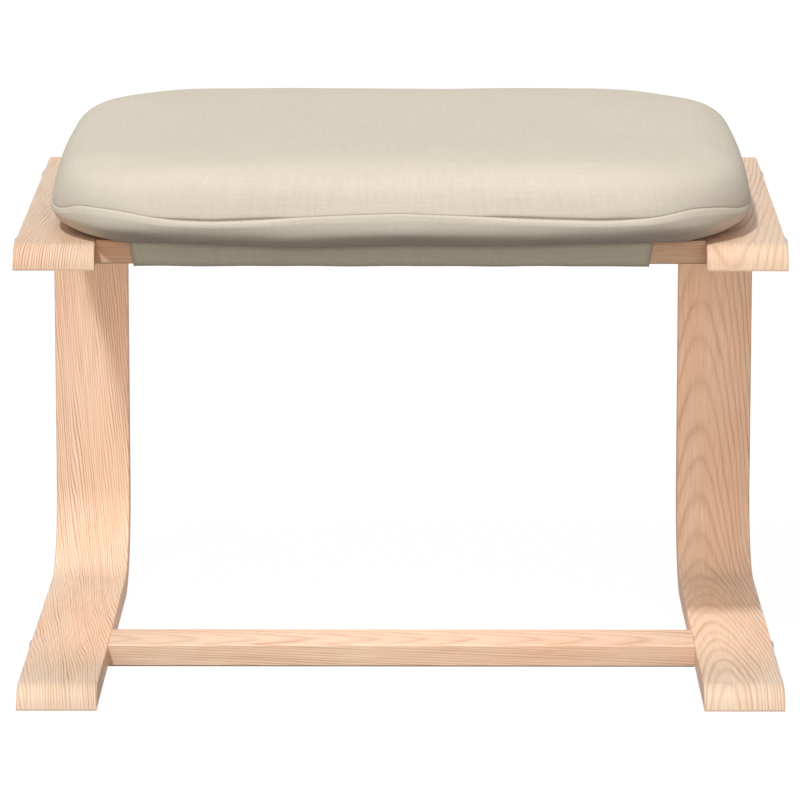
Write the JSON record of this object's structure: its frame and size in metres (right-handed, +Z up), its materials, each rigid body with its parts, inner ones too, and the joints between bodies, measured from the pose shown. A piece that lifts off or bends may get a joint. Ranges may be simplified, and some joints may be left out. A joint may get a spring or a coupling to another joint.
{
  "type": "footstool",
  "caption": "Cantilevered bentwood footstool with a removable boxed cushion on a fabric seat sling.",
  "frame": {"origin": "on the floor, under the middle of the stool", "axes": "+X across the stool to the viewer's right, +Y from the open front to the posts, +Z up"},
  "size_m": [0.4944, 0.3999, 0.359],
  "materials": {
    "bent_wood": "satin",
    "rail_wood": "satin",
    "dowel_wood": "matte",
    "plated_nut": "satin",
    "bolt_steel": "satin",
    "sling_cloth": "matte",
    "foam": "matte",
    "cover_cloth": "matte",
    "zip_tape": "matte",
    "zip_metal": "satin"
  },
  "bodies": {
    "stool": {"cover_base_panel": "cover_cloth", "cover_side_band": "cover_cloth", "cover_top_panel": "cover_cloth", "cushion_core": "foam", "front_rail_barrel_nut_left": "plated_nut", "front_rail_barrel_nut_right": "plated_nut", "front_rail_bolt_left": "bolt_steel", "front_rail_bolt_right": "bolt_steel", "front_rail_dowel_aft_left": "dowel_wood", "front_rail_dowel_aft_right": "dowel_wood", "front_rail_dowel_fore_left": "dowel_wood", "front_rail_dowel_fore_right": "dowel_wood", "front_seat_rail": "rail_wood", "low_stretcher": "rail_wood", "rear_rail_barrel_nut_left": "plated_nut", "rear_rail_barrel_nut_right": "plated_nut", "rear_rail_bolt_left": "bolt_steel", "rear_rail_bolt_right": "bolt_steel", "rear_rail_dowel_aft_left": "dowel_wood", "rear_rail_dowel_aft_right": "dowel_wood", "rear_rail_dowel_fore_left": "dowel_wood", "rear_rail_dowel_fore_right": "dowel_wood", "rear_seat_rail": "rail_wood", "seat_sling": "sling_cloth", "side_frame_left": "bent_wood", "side_frame_right": "bent_wood", "stretcher_barrel_nut_left": "plated_nut", "stretcher_barrel_nut_right": "plated_nut", "stretcher_bolt_left": "bolt_steel", "stretcher_bolt_right": "bolt_steel", "stretcher_dowel_aft_left": "dowel_wood", "stretcher_dowel_aft_right": "dowel_wood", "stretcher_dowel_fore_left": "dowel_wood", "stretcher_dowel_fore_right": "dowel_wood", "zip_tape": "zip_tape"},
    "zip_slider": {"zip_slider": "zip_metal"},
    "zip_pull": {"zip_pull": "zip_metal"}
  },
  "joints": [
    {"name": "zip_slide", "type": "slide", "parent": "stool", "child": "zip_slider", "axis": [-1, 0, 0], "range_m": [0, 0.282]},
    {"name": "pull_swing", "type": "hinge", "parent": "zip_slider", "child": "zip_pull", "pos_m": [0.141, 0.16314, 0.32248], "axis": [1, 0, 0], "range_deg": [0, 165]}
  ]
}
